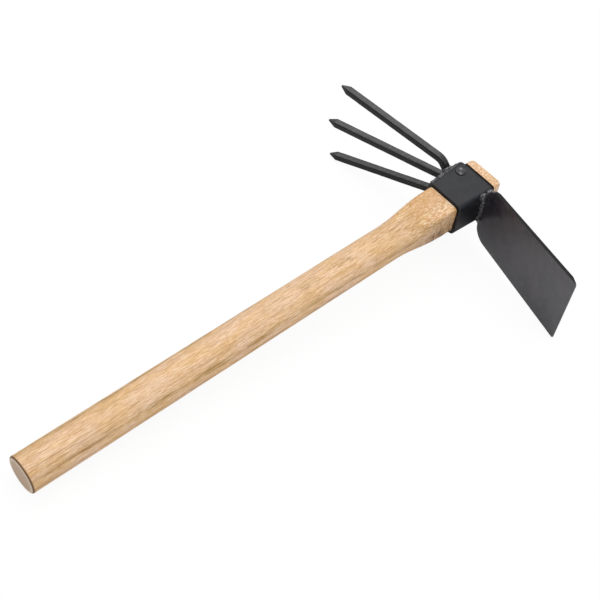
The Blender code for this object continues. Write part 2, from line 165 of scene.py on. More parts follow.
def handle_stations():
    """(x, half width, half height, squareness) from the butt to the end of the tenon."""
    stations = []
    for step in range(7):
        angle = math.pi / 2 * step / 6
        radius = GRIP_RADIUS - BUTT_ROUNDING * (1 - math.sin(angle))
        stations.append((BUTT_ROUNDING * (1 - math.cos(angle)), radius, radius, ROUND))
    grip_steps = 120
    for step in range(1, grip_steps + 1):
        x = between(BUTT_ROUNDING, ROUND_END, step / grip_steps)
        stations.append((x, GRIP_RADIUS, GRIP_RADIUS, ROUND))
    neck_steps = 84
    neck_end = collar_low.x - CLEARANCE
    for step in range(1, neck_steps + 1):
        x = between(ROUND_END, neck_end, step / neck_steps)
        share = ease(max((x - ROUND_END) / (SQUARE_START - ROUND_END), 0.0) ** NECK_EASE)
        squareness = ROUND * (SHAVED / ROUND) ** share
        half_width = between(GRIP_RADIUS, NECK_HALF_WIDTH, share)
        half_height = between(GRIP_RADIUS, NECK_HALF_HEIGHT, share)
        stations.append((x, half_width, half_height, squareness))
    for x in (neck_end, collar_high.x):
        stations.append((x, tenon_half_width(x), TENON_HALF_HEIGHT, SAWN))
    for step in range(1, 9):
        angle = math.pi / 2 * step / 8
        inset = TENON_ROUNDING * (1 - math.cos(angle))
        x = handle_high.x - TENON_ROUNDING * (1 - math.sin(angle))
        half_width = tenon_half_width(collar_high.x) - TENON_TAPER - inset
        stations.append((x, half_width, TENON_HALF_HEIGHT - TENON_TAPER - inset, SAWN))
    return stations


def tool_marks(point):
    """How deep the sanding and the drawknife went at a point of the handle's surface."""
    if point.x > collar_low.x - CLEARANCE * 2 or point.x < BUTT_ROUNDING:
        return 0.0
    hand_sanding = 0.00010 * (1 + noise.noise(Vector((point.x * 28, point.y * 90, point.z * 90))))
    angle = math.degrees(math.atan2(point.z, point.y)) % 360
    under_side = ease(1 - abs(angle - 205) / 48)
    near_collar = ease((point.x - 0.322) / 0.016) * ease((collar_low.x - point.x) / 0.004)
    wander = noise.noise(Vector((point.x * 160, point.y * 120, point.z * 120)))
    ripple = 0.5 + 0.5 * math.sin(point.x * 3600 + point.z * 420 + wander * 4)
    return hand_sanding + 0.00034 * under_side * near_collar * ripple * (0.6 + 0.8 * abs(wander))


def handle_shape():
    shape = bmesh.new()
    stations = handle_stations()
    rim = start_ring(shape, HANDLE_SIDES, lambda point: on_section(point, *stations[0]))
    for station in stations[1:]:
        rim = draw_out(shape, rim, lambda point, at=station: on_section(point, *at))
    for point in shape.verts:
        centre = Vector((point.co.x, 0, 0))
        point.co += (centre - point.co).normalized() * tool_marks(point.co)
    return shape


class Wire:
    """The output of a shader node, on which sums are written as plain arithmetic."""

    def __init__(self, finish, socket):
        self.finish = finish
        self.socket = socket

    def reckon(self, operation, *terms):
        return self.finish.node("ShaderNodeMath", {"operation": operation}, dict(enumerate(terms)))

    def __add__(self, other):
        return self.reckon("ADD", self, other)

    def __sub__(self, other):
        return self.reckon("SUBTRACT", self, other)

    def __rsub__(self, other):
        return self.reckon("SUBTRACT", other, self)

    def __mul__(self, other):
        return self.reckon("MULTIPLY", self, other)

    def __pow__(self, other):
        return self.reckon("POWER", self, other)

    __radd__ = __add__
    __rmul__ = __mul__


class Finish:
    """One surface finish, whose pattern follows the piece's own coordinates."""

    def __init__(self, name, **constants):
        self.material = bpy.data.materials.new(name)
        self.material.use_nodes = True
        self.tree = self.material.node_tree
        self.shader = self.tree.nodes["Principled BSDF"]
        for socket, value in constants.items():
            self.shader.inputs[socket.replace("_", " ")].default_value = value
        self.place = self.node("ShaderNodeTexCoord", output="Object")

    def node(self, kind, settings=None, inputs=None, output=0):
        """Adds a node: its settings come first, and then its sockets' values or links."""
        made = self.tree.nodes.new(kind)
        for setting, value in (settings or {}).items():
            setattr(made, setting, value)
        for socket, value in (inputs or {}).items():
            if isinstance(value, Wire):
                self.tree.links.new(value.socket, made.inputs[socket])
            else:
                made.inputs[socket].default_value = value
        return Wire(self, made.outputs[output])

    def feed(self, **wires):
        for socket, wire in wires.items():
            self.tree.links.new(wire.socket, self.shader.inputs[socket.replace("_", " ")])

    def turned(self, scale, location=(0, 0, 0), rotation=(0, 0, 0)):
        """The piece's coordinates, turned and stretched: one unit is one feature of the pattern."""
        return self.node("ShaderNodeMapping", {}, {
            "Vector": self.place, "Location": location, "Rotation": rotation, "Scale": scale,
        })

    def grain(
        self, scale, detail=2.0, roughness=0.5, rotation=(0, 0, 0), location=(0, 0, 0), distortion=0.0,
    ):
        """Cloudy pattern with so many features in a metre along each axis."""
        return self.node("ShaderNodeTexNoise", {"normalize": True}, {
            "Vector": self.turned(scale, location, rotation), "Scale": 1.0, "Detail": detail,
            "Roughness": roughness, "Distortion": distortion,
        })

    def step(self, wire, low, high):
        """Zero below low, one above high and a soft step between."""
        return self.node("ShaderNodeMapRange", {"interpolation_type": "SMOOTHSTEP", "clamp": True}, {
            "Value": wire, "From Min": low, "From Max": high, "To Min": 0.0, "To Max": 1.0,
        })

    def mix(self, share, first, second):
        """Second colour over the first, by a share; both are colours or wires."""
        sides = {}
        for index, side in ((6, first), (7, second)):
            sides[index] = side if isinstance(side, Wire) else (*side, 1.0)
        return self.node("ShaderNodeMix", {"data_type": "RGBA"}, {0: share, **sides}, output=2)

    def bump(self, height, strength, distance):
        return self.node("ShaderNodeBump", {}, {
            "Height": height, "Strength": strength, "Distance": distance,
        })

    def axis(self, name):
        return self.node("ShaderNodeSeparateXYZ", {}, {"Vector": self.place}, output=name)


def long_grain():
    """Pale wood: growth rings cut lengthwise as ochre bands of short brown pores, on pinkish tan."""
    wood = Finish("handle_long_grain", IOR=1.45)
    x, y, z = wood.axis("X"), wood.axis("Y"), wood.axis("Z")

    # Growth rings, which run out of the stick at a slant: each starts with a band of open pores.
    depth = ((y - PITH.y) ** 2 + (z - PITH.z) ** 2) ** 0.5
    wander = wood.grain((9, 45, 45), detail=2) - 0.5
    waver = wood.grain((55, 160, 160), detail=2) - 0.5
    rings = depth * (1 / RING_SPACING) + x * RING_RUN_OUT + wander * 0.9 + waver * 0.35
    part = rings.reckon("FRACT", rings)
    early = wood.step(part, 0.0, 0.14) * (1 - wood.step(part, 0.16, 0.52))
    patchy = wood.step(wood.grain((26, 30, 30), detail=1, location=(4, 2, 8)), 0.36, 0.60)
    band = early * (0.3 + patchy * 0.7) * (1 - wood.step(x, 0.27, 0.31) * 0.5)

    # Fibres and pores, from broad changes of hue down to single dashes.
    fibres = wood.grain((130, 2300, 2300), detail=4, roughness=0.75, distortion=0.2)
    hairlines = wood.grain(
        (15, 1300, 1300), detail=3, roughness=0.65, location=(3, 3, 1), distortion=0.12,
    )
    dashes = wood.grain(
        (110, 1700, 1700), detail=3, roughness=0.6, location=(7, 1, 3), distortion=0.25,
    )
    flecks = wood.grain(
        (240, 1300, 1300), detail=3, roughness=0.7, location=(2, 9, 5), distortion=0.6,
    )
    hue = wood.grain((38, 110, 110), detail=3, location=(1, 6, 2))
    colour = wood.mix(wood.step(hue, 0.36, 0.64), (0.760, 0.520, 0.350), (0.720, 0.460, 0.225))
    contrast = 0.75 + band * 0.25
    colour = wood.mix(wood.step(fibres, 0.48, 0.60) * contrast, colour, (0.500, 0.275, 0.100))
    colour = wood.mix(wood.step(fibres, 0.48, 0.36) * contrast, colour, (0.830, 0.640, 0.440))
    colour = wood.mix(band * 0.72, colour, (0.430, 0.270, 0.080))
    line_share = wood.step(hairlines, 0.55, 0.61) * (0.35 + band * 0.65)
    colour = wood.mix(line_share * 0.9, colour, (0.270, 0.125, 0.030))
    dash_share = wood.step(dashes, 0.52, 0.60) * (0.22 + band * 0.78)
    colour = wood.mix(dash_share * 0.95, colour, (0.190, 0.090, 0.015))

    # The shaved neck is flecked and speckled more than the grip, and stained beside the collar.
    near_neck = wood.step(x, 0.322, 0.352)
    fleck_share = wood.step(flecks, 0.53, 0.61) * (0.16 + near_neck * 0.44)
    colour = wood.mix(fleck_share * 0.85, colour, (0.420, 0.185, 0.055))
    speckle = wood.grain((380, 900, 900), detail=3, roughness=0.7, location=(4, 5, 9))
    shaved = wood.step(x, 0.318, 0.345)
    dark_spots = wood.step(speckle, 0.52, 0.60) * (0.15 + shaved * 0.45)
    colour = wood.mix(dark_spots, colour, (0.470, 0.215, 0.065))
    pale_spots = wood.step(speckle, 0.46, 0.38) * (0.10 + shaved * 0.45)
    colour = wood.mix(pale_spots, colour, (0.880, 0.730, 0.530))
    stained = wood.grain((45, 60, 60), detail=2, location=(6, 6, 6))
    blush = wood.step(x, 0.322, 0.345) * wood.step(y, -0.010, 0.002) * wood.step(stained, 0.38, 0.55)
    colour = wood.mix(blush * (1 - wood.step(x, 0.362, 0.372)) * 0.4, colour, (0.560, 0.290, 0.110))

    # The butt's rim is burnished dark, and the underside of the neck is torn by the drawknife.
    rim = 1 - wood.step(x, 0.0008, 0.0018)
    colour = wood.mix(rim * 0.9, colour, (0.11, 0.040, 0.008))
    torn = wood.step(x, 0.334, 0.348) * wood.step(z, 0.003, -0.004) * wood.step(y, -0.006, -0.011)
    strokes = wood.grain((900, 150, 110), detail=3, rotation=(0, 0.35, 0), distortion=0.6)
    colour = wood.mix(torn * wood.step(strokes, 0.46, 0.54) * 0.9, colour, (0.16, 0.075, 0.035))

    # A pale line at the collar's mouth, partly crushed wood and partly a painted highlight on the top of
    # the neck, and the mottled end of the tenon.
    # Painted highlight: the pale line is kept to the top of the neck, where the edge takes the light.
    shoulder = wood.step(x, collar_low.x - 0.0022, collar_low.x - 0.0012) * wood.step(z, 0.009, 0.012)
    shoulder = shoulder * (1 - wood.step(x, collar_low.x, collar_low.x + 0.001))
    colour = wood.mix(shoulder * 0.5 * wood.step(stained, 0.60, 0.42), colour, (0.850, 0.700, 0.540))
    tenon_end = wood.step(x, collar_high.x, collar_high.x + 0.002)
    colour = wood.mix(tenon_end * 0.35, colour, (0.800, 0.600, 0.430))
    colour = wood.mix(tenon_end * wood.step(speckle, 0.46, 0.58) * 0.7, colour, (0.500, 0.250, 0.100))

    # At the collar's rims the wood is painted black as shade: a painted shadow in the gap at the mouth
    # and under the lip beyond the head end. It is made metallic with that black, so that it doesn't
    # shine.
    painted_rim_shadow = wood.step(x, collar_low.x - 0.0006, collar_low.x - 0.0002)
    painted_rim_shadow = painted_rim_shadow * (1 - wood.step(x, collar_high.x + 0.0038, collar_high.x + 0.0046))
    colour = wood.mix(painted_rim_shadow, colour, (0.012, 0.009, 0.008))
    wood.feed(
        Base_Color=colour,
        Metallic=painted_rim_shadow,
        Roughness=0.42 + fibres * 0.16 + dash_share * 0.2,
        Normal=wood.bump(fibres * -0.5 - dash_share * 0.6 - fleck_share * 0.3, 0.35, 0.0003),
    )
    return wood.material


def end_grain():
    """Sawn end of the stick: greyer wood, with growth rings cut across and pores as dots."""
    wood = Finish("handle_end_grain", Roughness=0.72, IOR=1.45)
    rings = wood.node("ShaderNodeTexWave", {"wave_type": "RINGS", "rings_direction": "X"}, {
        "Vector": wood.turned((0.12, 1, 1), location=(0, 0.052, -0.040)), "Scale": 95.0,
        "Distortion": 2.0, "Detail": 2.0, "Detail Scale": 120.0,
    }, output="Fac")
    dots = wood.grain((500, 1900, 1900), detail=2, roughness=0.7)
    colour = wood.mix(rings * 0.5, (0.62, 0.46, 0.33), (0.50, 0.35, 0.23))
    colour = wood.mix(wood.step(dots, 0.56, 0.68) * 0.5, colour, (0.30, 0.18, 0.10))
    out = (wood.axis("Y") ** 2 + wood.axis("Z") ** 2) ** 0.5
    worn_rim = wood.step(out, GRIP_RADIUS - 0.0042, GRIP_RADIUS - 0.0020)
    colour = wood.mix(worn_rim * 0.6, colour, (0.82, 0.70, 0.56))
    wood.feed(Base_Color=colour, Normal=wood.bump(dots + rings * 0.4, 0.3, 0.0003))
    return wood.material


def fit(piece, node):
    """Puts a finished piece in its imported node's place."""
    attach(piece, "root")
    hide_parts(node)


END_FACING = 0.9  # how square to the stick a face is before it shows end grain
handle = make_piece("hardwood_handle", handle_shape())

wedge_low, wedge_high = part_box("tenon_wedge")
kerf = bmesh.new()
bmesh.ops.create_cube(kerf, size=1.0)
kerf_size = wedge_high - wedge_low + Vector((CLEARANCE * 2 + 0.004, CLEARANCE * 2, CLEARANCE * 2))
bmesh.ops.scale(kerf, vec=kerf_size, verts=kerf.verts)
bmesh.ops.translate(kerf, vec=(wedge_low + wedge_high) / 2 + Vector((0.002, 0, 0)), verts=kerf.verts)
cut_out(handle, make_piece("kerf", kerf))

nail_low, nail_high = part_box("retaining_nail")
nail_spot = (nail_low + nail_high) / 2
NAIL_SHANK_RADIUS = 0.0016


def nail_hole(name, bottom, top):
    hole = bmesh.new()
    radius = NAIL_SHANK_RADIUS + CLEARANCE / 2
    bmesh.ops.create_cone(
        hole, cap_ends=True, segments=32, radius1=radius, radius2=radius, depth=top - bottom,
        matrix=Matrix.Translation((nail_spot.x, nail_spot.y, (bottom + top) / 2)),
    )
    return make_piece(name, hole)


cut_out(handle, nail_hole("pilot", nail_low.z - CLEARANCE, collar_high.z))
handle.data.materials.clear()
handle.data.materials.append(long_grain())
handle.data.materials.append(end_grain())
for face in handle.data.polygons:
    face.material_index = int(abs(face.normal.x) > END_FACING)
fit(handle, "handle")


# ---- Tenon wedge --------------------------------------------------------------------------------
# A thin taper of darker wood, hammered into the saw kerf in the end of the tenon. It spreads the
# tenon in the flared collar, so that the head can't fly off, and is trimmed flush.

WEDGE_TIP_SHARE = 0.35
WEDGE_EDGE = 0.00025


def sawn_wedge_wood():
    wood = Finish("wedge_wood", Roughness=0.7, IOR=1.45)
    streaks = wood.grain((60, 900, 300), detail=3)
    colour = wood.mix(streaks, (0.26, 0.14, 0.065), (0.42, 0.25, 0.13))
    wood.feed(Base_Color=colour, Normal=wood.bump(streaks, 0.3, 0.0002))
    return wood.material


taper = bmesh.new()
bmesh.ops.create_cube(taper, size=1.0)
bmesh.ops.scale(taper, vec=wedge_high - wedge_low, verts=taper.verts)
tip_points = [point for point in taper.verts if point.co.x < 0]
bmesh.ops.scale(taper, vec=(1, WEDGE_TIP_SHARE, 1), verts=tip_points)
bmesh.ops.translate(taper, vec=(wedge_low + wedge_high) / 2, verts=taper.verts)
bmesh.ops.bevel(
    taper, geom=taper.edges[:], offset=WEDGE_EDGE, segments=2, profile=0.5, affect="EDGES", material=-1,
)
wedge = make_piece("tapered_wedge", taper)
wedge.data.materials.append(sawn_wedge_wood())
fit(wedge, "tenon_wedge")


# ---- Collar -------------------------------------------------------------------------------------
# The rectangular eye: steel strip folded round a former, a little wider at the head side, with its
# rims dressed smooth. It is sprayed with satin black paint after everything is welded to it.

FOLD_RADIUS = 0.0045
RIM_ROUNDING = 0.0005
FLAT_STEPS = 14
COLLAR_DENT = 0.00008
DENT_SEED = 6  # fixes the dents; of seeds 1 to 6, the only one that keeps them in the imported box


def black_paint(
    name, grey, roughness, specular, streak_turn=(0, 0, 0), streaks=0.0, cast=(1, 1, 1.05),
):
    """Satin black paint: mottled, slightly blue, with orange peel and, where asked, worn grey streaks."""
    paint = Finish(name, IOR=1.5, Specular_IOR_Level=specular)
    mottle = paint.grain((90, 90, 90), detail=5, roughness=0.7)
    peel = paint.grain((1500, 1500, 1500), detail=2)
    dust = paint.grain((700, 700, 700), detail=3, roughness=0.8, location=(5, 1, 7))
    dark = tuple(grey * 0.65 * share for share in cast)
    light = tuple(grey * 1.4 * share for share in cast)
    colour = paint.mix(paint.step(mottle, 0.35, 0.65), dark, light)
    if streaks:
        rub = paint.grain((40, 1500, 1500), detail=3, roughness=0.6, rotation=streak_turn)
        colour = paint.mix(paint.step(rub, 0.50, 0.66) * streaks, colour, (0.13, 0.13, 0.135))
    specks = paint.step(dust, 0.64, 0.72)
    colour = paint.mix(specks * 0.5, colour, (grey * 5, grey * 4.6, grey * 4.4))
    paint.feed(
        Base_Color=colour,
        Roughness=roughness - 0.08 + mottle * 0.16 + specks * 0.2,
        Normal=paint.bump(peel * 0.5 + mottle * 0.8, 0.16, 0.0005),
    )
    return paint.material


noise.seed_set(DENT_SEED)


def dent(shape, depth, pitch, seed):
    """Leaves the surface slightly uneven, as rolled and hammered steel is."""
    for point in shape.verts:
        point.co += noise.noise_vector(point.co * pitch + Vector((seed, 0, 0))) * depth


eye = bmesh.new()
bmesh.ops.create_cube(eye, size=1.0)
bmesh.ops.scale(eye, vec=collar_high - collar_low, verts=eye.verts)
mouth_share = COLLAR_MOUTH_HALF / collar_high.y
bmesh.ops.scale(eye, vec=(1, mouth_share, 1), verts=[point for point in eye.verts if point.co.x < 0])
bmesh.ops.translate(eye, vec=(collar_low + collar_high) / 2, verts=eye.verts)
open_ends = [face for face in eye.faces if abs(face.normal.x) > END_FACING]
bmesh.ops.delete(eye, geom=open_ends, context="FACES_ONLY")
folds = [edge for edge in eye.edges if not edge.is_boundary]
bmesh.ops.bevel(eye, geom=folds, offset=FOLD_RADIUS, segments=8, profile=0.5, affect="EDGES", material=-1)
bmesh.ops.recalc_face_normals(eye, faces=eye.faces)
middle = (collar_low + collar_high) / 2
if (eye.faces[0].calc_center_median() - middle).dot(eye.faces[0].normal) < 0:
    bmesh.ops.reverse_faces(eye, faces=eye.faces)
bmesh.ops.solidify(eye, geom=eye.faces[:], thickness=COLLAR_WALL)
rims = [edge for edge in eye.edges if len(edge.link_faces) == 2]
rims = [edge for edge in rims if edge.calc_face_angle() > math.radians(60)]
bmesh.ops.bevel(eye, geom=rims, offset=RIM_ROUNDING, segments=3, profile=0.5, affect="EDGES", material=-1)
long_edges = [edge for edge in eye.edges if edge.calc_length() > 0.02]
bmesh.ops.subdivide_edges(eye, edges=long_edges, cuts=FLAT_STEPS, use_grid_fill=True)
dent(eye, COLLAR_DENT, 140, 2.0)
collar = make_piece("folded_collar", eye)
cut_out(collar, nail_hole("nail_way", collar_high.z - COLLAR_WALL * 2, collar_high.z + COLLAR_WALL))
collar_paint = black_paint("collar_paint", 0.011, roughness=0.40, specular=0.27, cast=(0.95, 1.0, 1.25))
collar.data.materials.append(collar_paint)
fit(collar, "collar")


# ---- Seam weld ----------------------------------------------------------------------------------
# The strip's two ends meet along one fold of the collar and are closed by a run of weld. The bead is
# not ground down, and is under the same paint. The light line along the fold is a painted highlight.

SEAM_RADIUS = 0.0017
BEAD_SIDES = 18
RIPPLE_PITCH = 0.0012
RIPPLE_STEPS = 5
RIPPLE_SHARE = 0.09
LUMP_SHARE = 0.40


def along(path, distance):
    """The point so far along a bent line."""
    for start, end in zip(path, path[1:]):
        leg = (end - start).length
        if distance <= leg or end == path[-1]:
            return start + (end - start) * (distance / leg)
        distance -= leg


def bead_shape(path, radius, seed, outward, first_lump=0.0):
    """A run of weld on a bent path: overlapping ripples of uneven size, tapered off at both ends."""
    length = sum((end - start).length for start, end in zip(path, path[1:]))
    steps = max(10, round(length / RIPPLE_PITCH * RIPPLE_STEPS))
    reach = radius * 0.6

    def size(distance):
        run_out = math.sin(math.pi / 2 * min(1, min(distance, length - distance) / (radius * 1.1))) ** 0.5
        ripple = math.sin(math.pi * (distance / RIPPLE_PITCH % 1))
        wander = noise.noise(Vector((distance * 330, seed, 0)))
        lump = first_lump * math.exp(-((distance / radius - 1.0) ** 2))
        return radius * max(run_out, 0.1) * (1 + RIPPLE_SHARE * ripple + LUMP_SHARE * wander + lump)

    def station(step):
        distance = length * step / steps
        points = [along(path, distance + shift) for shift in (-reach, 0, reach)]
        way = (points[2] - points[0]).normalized()
        side = outward.cross(way).normalized()
        axes = Matrix((way, side, way.cross(side))).transposed().to_4x4()
        sway = noise.noise_vector(Vector((distance * 200, seed, 5))) * radius * 0.25
        scale = Matrix.Diagonal((1, size(distance), size(distance), 1))
        return Matrix.Translation(sum(points, Vector()) / 3 + sway) @ axes @ scale

    shape = bmesh.new()
    last = station(0)
    rim = start_ring(shape, BEAD_SIDES, lambda point: last @ Vector((0, point.y, point.z)))
    for step in range(1, steps + 1):
        following = station(step)
        move = following @ last.inverted()
        rim = draw_out(shape, rim, lambda point: move @ point)
        last = following
    return shape


def weld_finish(name, bare=0.5, roughness=0.3, glint_spots=()):
    """Weld under thin black paint, bright bare metal on its highest crowns, partly worn paint and partly
    painted highlight, and at the given spots, which are painted highlights.
    """
    weld = Finish(name, IOR=1.5)
    crowns = weld.grain((480, 480, 480), detail=2, roughness=0.6)
    pits = weld.grain((1700, 1700, 1700), detail=2, location=(3, 3, 3))
    bare_and_glints = weld.step(crowns, 0.42, 0.62) * bare
    # Bright bare-metal patches at the given spots: painted highlights.
    for spot in glint_spots:
        off = ((weld.axis("X") - spot[0]) ** 2 + (weld.axis("Y") - spot[1]) ** 2) ** 0.5
        bare_and_glints = bare_and_glints.reckon("MAXIMUM", bare_and_glints, weld.step(off + crowns * 0.0040, 0.0034, 0.0024) * 0.6)
    weld.feed(
        Base_Color=weld.mix(bare_and_glints, (0.012, 0.012, 0.014), (0.36, 0.36, 0.38)),
        Metallic=bare_and_glints,
        Roughness=roughness + pits * 0.2,
        Normal=weld.bump(crowns + pits * 0.3, 0.5, 0.0005),
    )
    return weld.material


fold_inset = FOLD_RADIUS * (1 - math.sqrt(0.5))


def fold_point(x, lift):
    """A point on the middle of the seam's fold, or lifted off it."""
    out = Vector((0, 1, 1)).normalized() * lift
    return Vector((x, collar_half_width(x) - fold_inset, collar_high.z - fold_inset)) + out


seam_low, seam_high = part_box("collar_seam_weld")
seam_path = [fold_point(seam_low.x, -0.0009), fold_point(seam_high.x, -0.0009)]
seam = make_piece("seam_bead", bead_shape(seam_path, SEAM_RADIUS, 3.0, Vector((0, 1, 1)).normalized()))
# Spots along the fold that are painted bright: a painted highlight line.
seam_glint_spots = [(x, collar_half_width(x)) for x in (0.3755, 0.3785, 0.3815, 0.3845)]
seam.data.materials.append(weld_finish("seam_paint", bare=0.2, glint_spots=seam_glint_spots))
fit(seam, "collar_seam_weld")


# ---- Nail ---------------------------------------------------------------------------------------
# One short nail through the collar into the tenon keeps the head from working loose. Its head is
# hammered down, so the dome is dented, and the paint on it is thick and shiny.

NAIL_HEAD_RADIUS = (nail_high.x - nail_low.x) / 2
NAIL_RISE = nail_high.z - collar_high.z
NAIL_POINT = 0.003

nail_shape = bmesh.new()
nail_profile = [
    Vector((NAIL_HEAD_RADIUS * math.sin(angle), 0, NAIL_RISE * between(0.2, 1.0, math.cos(angle))))
    for angle in (math.pi / 2 * step / 10 for step in range(11))
]
nail_profile.append(Vector((NAIL_HEAD_RADIUS * 0.97, 0, 0)))
nail_profile.append(Vector((NAIL_SHANK_RADIUS, 0, -CLEARANCE / 2)))
nail_profile.append(Vector((NAIL_SHANK_RADIUS, 0, nail_low.z + NAIL_POINT - collar_high.z)))
nail_profile.append(Vector((0, 0, nail_low.z - collar_high.z)))
profile_points = [nail_shape.verts.new(point) for point in nail_profile]
profile_edges = [nail_shape.edges.new(pair) for pair in zip(profile_points, profile_points[1:])]
bmesh.ops.spin(
    nail_shape, geom=profile_points + profile_edges, cent=(0, 0, 0), axis=(0, 0, 1), dvec=(0, 0, 0),
    angle=2 * math.pi, steps=48, use_merge=True,
)
for point in nail_shape.verts:
    if point.co.z > 0.0002:
        hammered = noise.noise(point.co * 330 + Vector((4, 4, 4)))
        point.co.z -= 0.0008 * (0.4 + hammered) * (1 - (point.co.xy.length / NAIL_HEAD_RADIUS) ** 2)
bmesh.ops.translate(nail_shape, vec=(nail_spot.x, nail_spot.y, collar_high.z), verts=nail_shape.verts)
nail = make_piece("hammered_nail", nail_shape, sharp_degrees=50)
# Two bright spots on the nail's head: painted highlights.
nail_glint_spots = [(nail_spot.x + 0.0012, nail_spot.y + 0.0010), (nail_spot.x - 0.0026, nail_spot.y - 0.0022)]
nail.data.materials.append(weld_finish("nail_paint", bare=0.1, roughness=0.4, glint_spots=nail_glint_spots))
fit(nail, "retaining_nail")


# ---- Blade --------------------------------------------------------------------------------------
# The hoe blade is sheared from flat plate with rounded shoulders, ground to an edge on its far side
# and welded square to the collar with a slight lean towards the handle.

BLADE_STATION = 0.3909
BLADE_TILT = math.radians(12.1)
BLADE_SET = math.radians(0.5)
BLADE_DROP = 0.0010
BLADE_LENGTH = 0.1058
BLADE_EDGE_HALF = 0.0315
BLADE_SHOULDER_HALF = 0.0275
SHOULDER_RADIUS = 0.0130
NECK_INSET = 0.0005
NECK_LENGTH = 0.0010
PLATE_THICKNESS = 0.0028
GROUND_WIDTH = 0.0070
EDGE_THICKNESS = 0.0005
BLADE_CORNER = 0.0020
PLATE_EDGE_ROUNDING = 0.00035
SHARP_WIDTH = 0.001  # the plate's edges are left sharp this near the cutting edge


def side_frame(station, side, tilt, height=0.0):
    """Local X straight out of the collar's side, local Y towards the head and local Z up."""
    out = Vector((-math.sin(tilt), side * math.cos(tilt), 0))
    headward = Vector((math.cos(tilt), side * math.sin(tilt), 0))
    origin = Vector((station, side * collar_half_width(station), height))
    axes = Matrix((out, headward, Vector((0, 0, 1)))).transposed().to_4x4()
    return Matrix.Translation(origin) @ axes


def slice_off(shape, point, normal, **cleared):
    """Cuts a shape along a plane, drops one side of it and closes the cut."""
    bmesh.ops.bisect_plane(
        shape, geom=shape.verts[:] + shape.edges[:] + shape.faces[:], dist=1e-7, plane_co=point,
        plane_no=normal, **cleared,
    )
    bmesh.ops.contextual_create(shape, geom=[edge for edge in shape.edges if edge.is_boundary])


def trim_to_collar(shape, side, clearance=CLEARANCE / 3):
    """Cuts a piece off along the collar's side; side is -1 for the blade and +1 for the tines."""
    normal = Vector((-FLARE, side, 0)).normalized()
    slice_off(shape, Vector((collar_low.x, side * COLLAR_MOUTH_HALF, 0)) + normal * clearance, normal,
              clear_inner=True)


def blade_outline():
    """Half the plate's outline as (out, up), from the neck round the shoulder to the cutting edge."""
    neck = collar_high.z - NECK_INSET
    points = [(-PLATE_THICKNESS, neck), (NECK_LENGTH, neck)]
    for step in range(1, 17):
        angle = math.pi / 2 * step / 16
        out = NECK_LENGTH + SHOULDER_RADIUS * (1 - math.cos(angle))
        points.append((out, between(neck, BLADE_SHOULDER_HALF, math.sin(angle))))
    for step in range(9):
        angle = math.pi / 2 * step / 8
        out = BLADE_LENGTH - BLADE_CORNER * (1 - math.sin(angle))
        points.append((out, BLADE_EDGE_HALF - BLADE_CORNER * (1 - math.cos(angle))))
    return points


plate = bmesh.new()
half_outline = blade_outline()
outline = half_outline + [(out, -up) for out, up in reversed(half_outline)]
face = plate.faces.new([plate.verts.new((out, 0, up)) for out, up in outline])
raised = bmesh.ops.extrude_face_region(plate, geom=[face])["geom"]
raised_points = [item for item in raised if isinstance(item, bmesh.types.BMVert)]
bmesh.ops.translate(plate, vec=(0, PLATE_THICKNESS, 0), verts=raised_points)
bmesh.ops.recalc_face_normals(plate, faces=plate.faces)
ground_slope = math.atan2(PLATE_THICKNESS - EDGE_THICKNESS, GROUND_WIDTH)
slice_off(plate, Vector((BLADE_LENGTH, EDGE_THICKNESS, 0)),
          Vector((math.sin(ground_slope), math.cos(ground_slope), 0)), clear_outer=True)
bmesh.ops.recalc_face_normals(plate, faces=plate.faces)
plate_rims = [
    edge for edge in plate.edges
    if edge.calc_face_angle(0) > math.radians(50)
    and min(point.co.x for point in edge.verts) < BLADE_LENGTH - SHARP_WIDTH
]
bmesh.ops.bevel(
    plate, geom=plate_rims, offset=PLATE_EDGE_ROUNDING, segments=3, profile=0.5, affect="EDGES",
    material=-1, clamp_overlap=True,
)
blade_turn = side_frame(BLADE_STATION, -1, BLADE_TILT, -BLADE_DROP) @ Matrix.Rotation(-BLADE_SET, 4, "Y")
plate.transform(blade_turn)
trim_to_collar(plate, side=-1)
blade = make_piece("plate_blade", plate, sharp_degrees=25)
blade_paint = black_paint("blade_paint", 0.023, roughness=0.30, specular=1.0, cast=(1.06, 0.93, 1.22))
blade.data.materials.append(blade_paint)
# The plate's edge faces get a darker, duller paint: the dullness is the rough sheared edge, the darker
# colour is painted shade.
blade.data.materials.append(black_paint("sheared_edge_shaded_paint", 0.008, roughness=0.6, specular=0.2))
edge_up = (blade_turn.to_3x3() @ Vector((0, 0, 1))).normalized()
for face in blade.data.polygons:
    face.material_index = int(abs(face.normal.dot(edge_up)) > END_FACING)
fit(blade, "hoe_blade")


# ---- Blade welds --------------------------------------------------------------------------------
# A run of weld down each face of the blade, in the corner that it makes with the collar's side. The
# one towards the handle starts with a lump at the top, where the arc was struck.

CORNER_BEAD_RADIUS = 0.0020
FOLD_RUN = 0.0045


def side_point(x, side, z, off=0.0):
    return Vector((x, side * (collar_half_width(x) + off), z))


